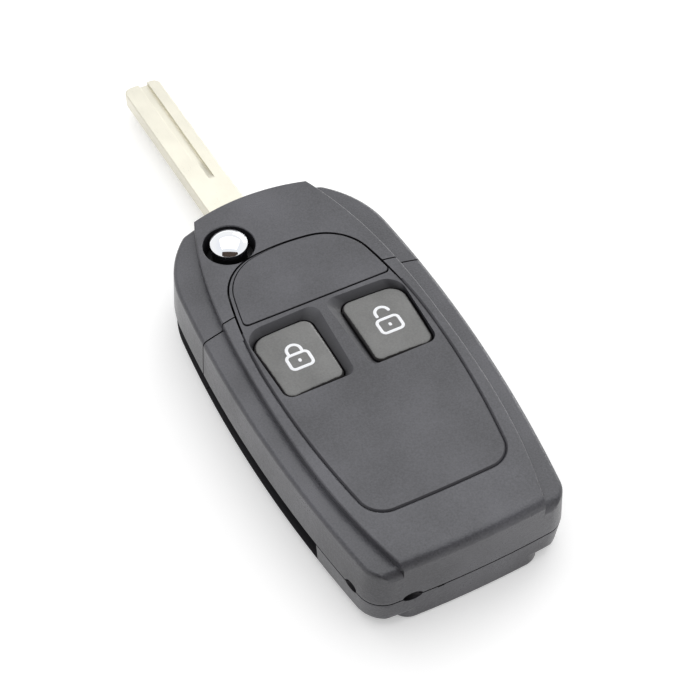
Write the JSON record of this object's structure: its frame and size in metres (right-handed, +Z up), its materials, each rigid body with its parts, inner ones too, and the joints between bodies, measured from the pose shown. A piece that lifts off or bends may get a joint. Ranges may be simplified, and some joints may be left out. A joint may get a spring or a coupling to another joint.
{
  "type": "flip key remote shell",
  "caption": "Empty flip key remote shell: matte housing with scooped lock and unlock buttons, a chrome release button and an uncut blade that folds into a side slot.",
  "frame": {"origin": "middle of the flat underside of the remote body", "axes": "+Y towards the blade tip with the blade swung out, +Z up through the buttons, +X to the right when looking along +Y"},
  "size_m": [0.0402, 0.1202, 0.0166],
  "materials": {
    "shell_plastic": "fine spark-eroded texture, charcoal",
    "panel_plastic": "fine spark-eroded texture, charcoal",
    "button_rubber": "soft satin, greenish grey",
    "keypad_silicone": "matte",
    "inner_plastic": "smooth black",
    "hub_metal": "die-cast, dull",
    "blade_metal": "nickel plated, warm satin",
    "spring_steel": "bright",
    "cap_chrome": "polished"
  },
  "bodies": {
    "housing": {"rear_upper_shell": "shell_plastic", "rear_lower_shell": "shell_plastic", "head_upper_cover": "shell_plastic", "head_lower_cover": "shell_plastic", "button_panel": "panel_plastic", "badge_blank": "panel_plastic", "keypad_membrane": "keypad_silicone", "keypad_retainer": "inner_plastic", "hub_washer": "spring_steel", "head_screws": "spring_steel"},
    "blade_unit": {"blade_hub": "hub_metal", "key_blade": "blade_metal", "blade_pin": "spring_steel", "torsion_spring": "spring_steel"},
    "release_button": {"release_plunger": "inner_plastic", "release_cap": "cap_chrome"},
    "lock_button": {"lock_button": "button_rubber"},
    "unlock_button": {"unlock_button": "button_rubber"}
  },
  "joints": [
    {"name": "blade_flip", "type": "hinge", "parent": "housing", "child": "blade_unit", "pos_m": [-0.0074, 0.0293, 0.0042], "axis": [0, 0, 1], "range_deg": [0, 180], "stiffness_Nm_per_rad": 0.008, "springref_deg": -22.92},
    {"name": "release_press", "type": "slide", "parent": "blade_unit", "child": "release_button", "axis": [0, 0, -1], "range_m": [0, 0.002], "stiffness_N_per_m": 1200, "springref_m": -0.0005, "deforming": ["torsion_spring"]},
    {"name": "lock_press", "type": "slide", "parent": "housing", "child": "lock_button", "axis": [0, 0, -1], "range_m": [0, 0.0007], "stiffness_N_per_m": 2500, "springref_m": -0.0001},
    {"name": "unlock_press", "type": "slide", "parent": "housing", "child": "unlock_button", "axis": [0, 0, -1], "range_m": [0, 0.0007], "stiffness_N_per_m": 2500, "springref_m": -0.0001}
  ]
}
